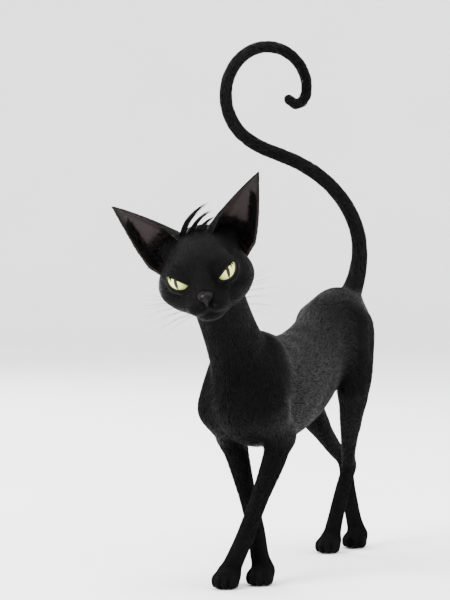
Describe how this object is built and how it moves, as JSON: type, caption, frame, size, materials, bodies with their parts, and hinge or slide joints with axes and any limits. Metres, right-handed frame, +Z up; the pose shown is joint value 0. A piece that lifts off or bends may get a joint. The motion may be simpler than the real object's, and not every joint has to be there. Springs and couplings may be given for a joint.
{
  "type": "cat",
  "caption": "Life-size slender black short-haired cat, walking with crossed forelegs, head tilted and turned, long tail raised in an S with a curled tip.",
  "frame": {"origin": "middle of the model's footprint, on the floor", "axes": "+Z up, the cat faces -Y, its left side is +X"},
  "size_m": [0.1656, 0.4364, 0.5268],
  "materials": {
    "coat": "short sleek black fur, lying flat, with a soft gloss",
    "eye": "pale yellow-green iris with a slit pupil under a clear wet cornea",
    "nose_leather": "damp black pebbled nose leather"
  },
  "bodies": {
    "root": {"ear_left": "coat", "ear_right": "coat", "eye_left": "eye", "eye_right": "eye", "forearm_left": "coat", "forearm_right": "coat", "forepaw_left": "coat", "forepaw_right": "coat", "head": "coat", "hindpaw_left": "coat", "hindpaw_right": "coat", "metatarsus_left": "coat", "metatarsus_right": "coat", "neck": "coat", "nose": "nose_leather", "shank_left": "coat", "shank_right": "coat", "tail_1": "coat", "tail_2": "coat", "tail_3": "coat", "tail_4": "coat", "tail_5": "coat", "tail_6": "coat", "tail_7": "coat", "tail_8": "coat", "tail_9": "coat", "thigh_left": "coat", "thigh_right": "coat", "torso": "coat", "upper_arm_left": "coat", "upper_arm_right": "coat"}
  },
  "joints": []
}
